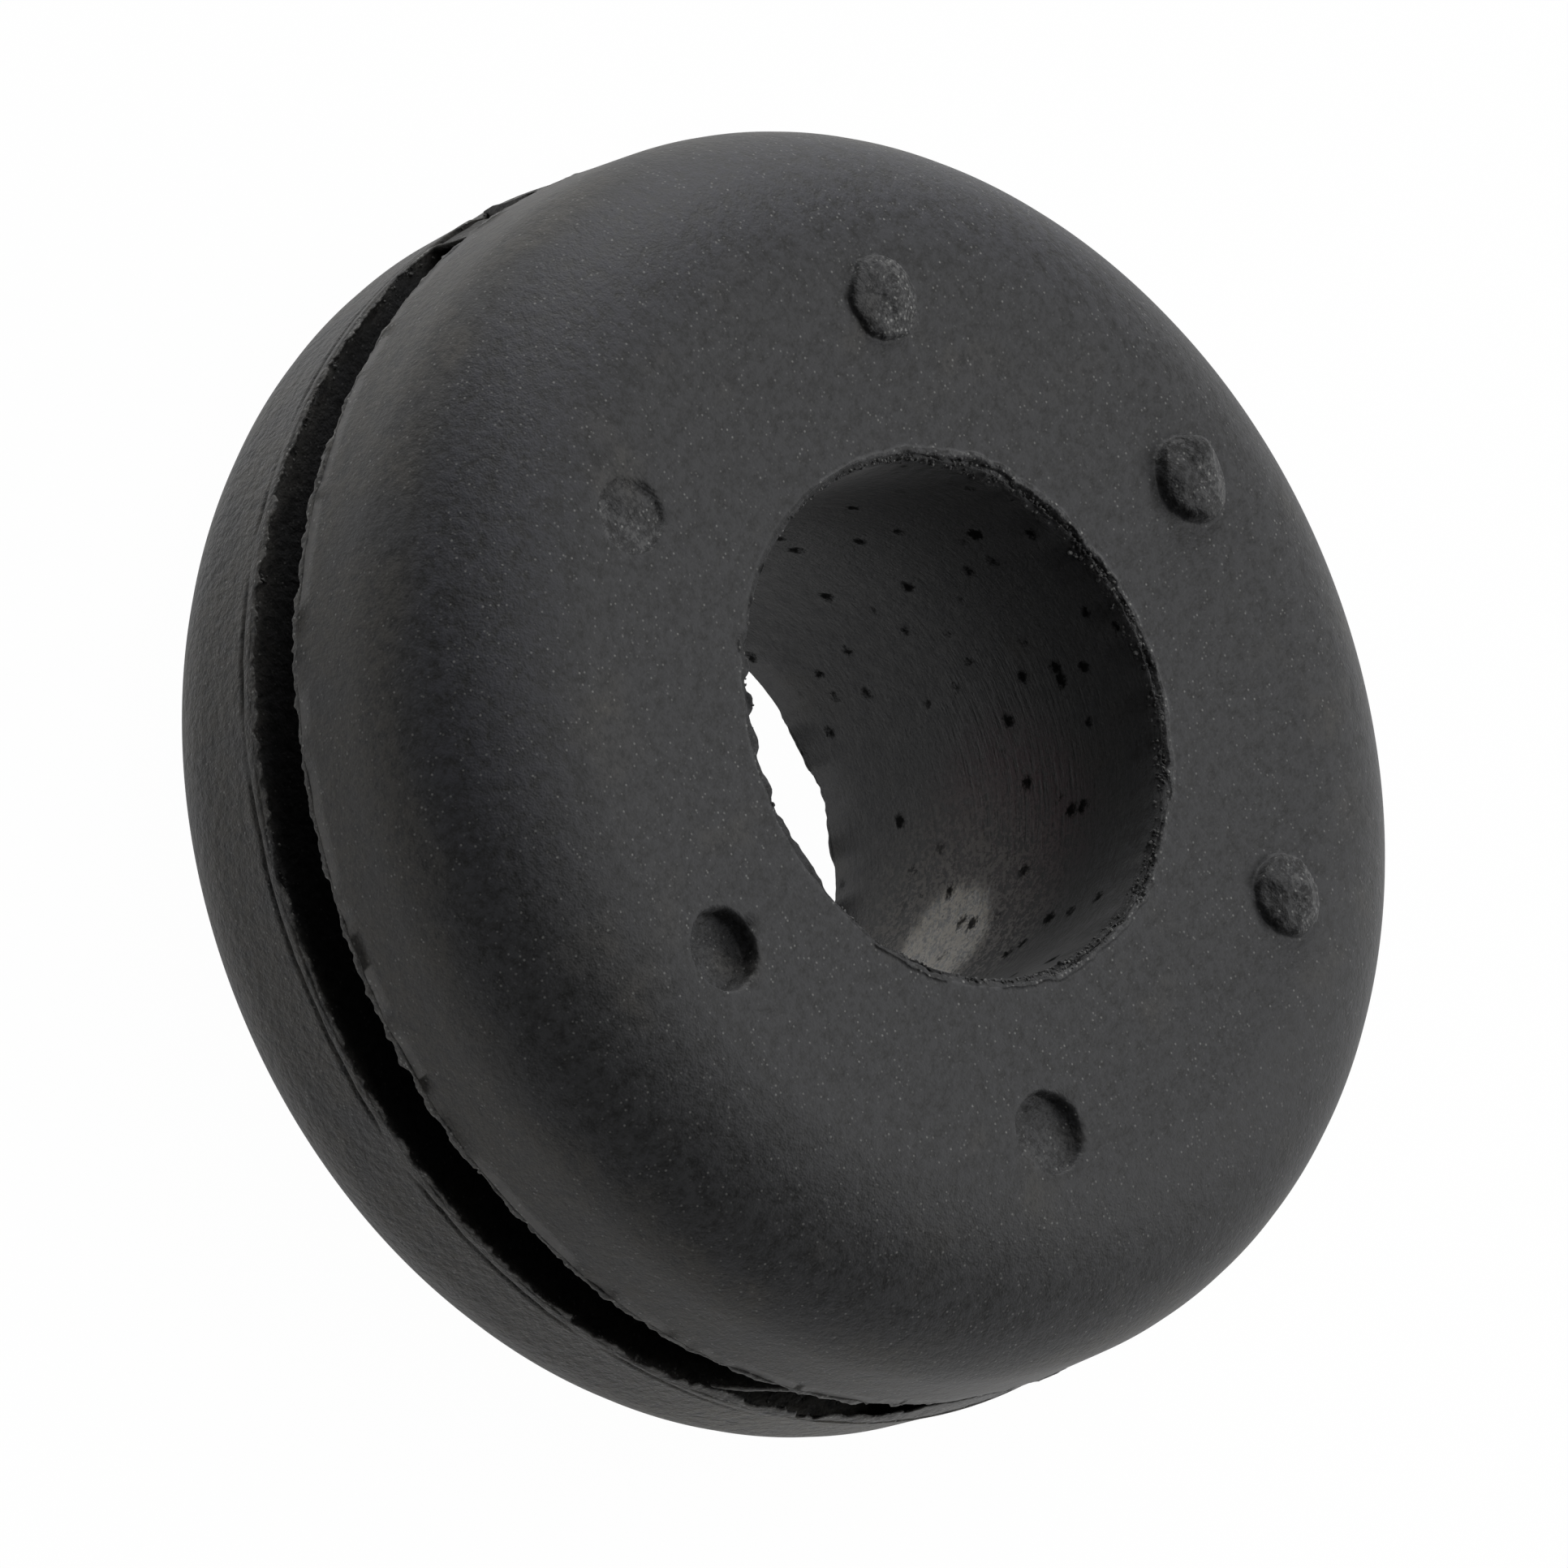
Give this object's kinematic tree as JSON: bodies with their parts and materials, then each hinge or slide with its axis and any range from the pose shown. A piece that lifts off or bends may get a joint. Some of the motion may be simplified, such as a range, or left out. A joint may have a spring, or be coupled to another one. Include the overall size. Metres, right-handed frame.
{
  "type": "rubber buffer",
  "caption": "Round moulded rubber buffer: two thick flanges with rolled shoulders, a narrow panel groove between them and a straight bore.",
  "frame": {"origin": "centre of the bore at the back face, on which the buffer lies", "axes": "+Z along the bore's axis, towards the front face with the mould marks; +X towards the deepest sunk mark"},
  "size_m": [0.02, 0.02, 0.0086],
  "materials": {
    "rubber": "matt black moulded rubber with fine pale specks"
  },
  "bodies": {
    "root": {"rubber_buffer": "rubber"}
  },
  "joints": []
}
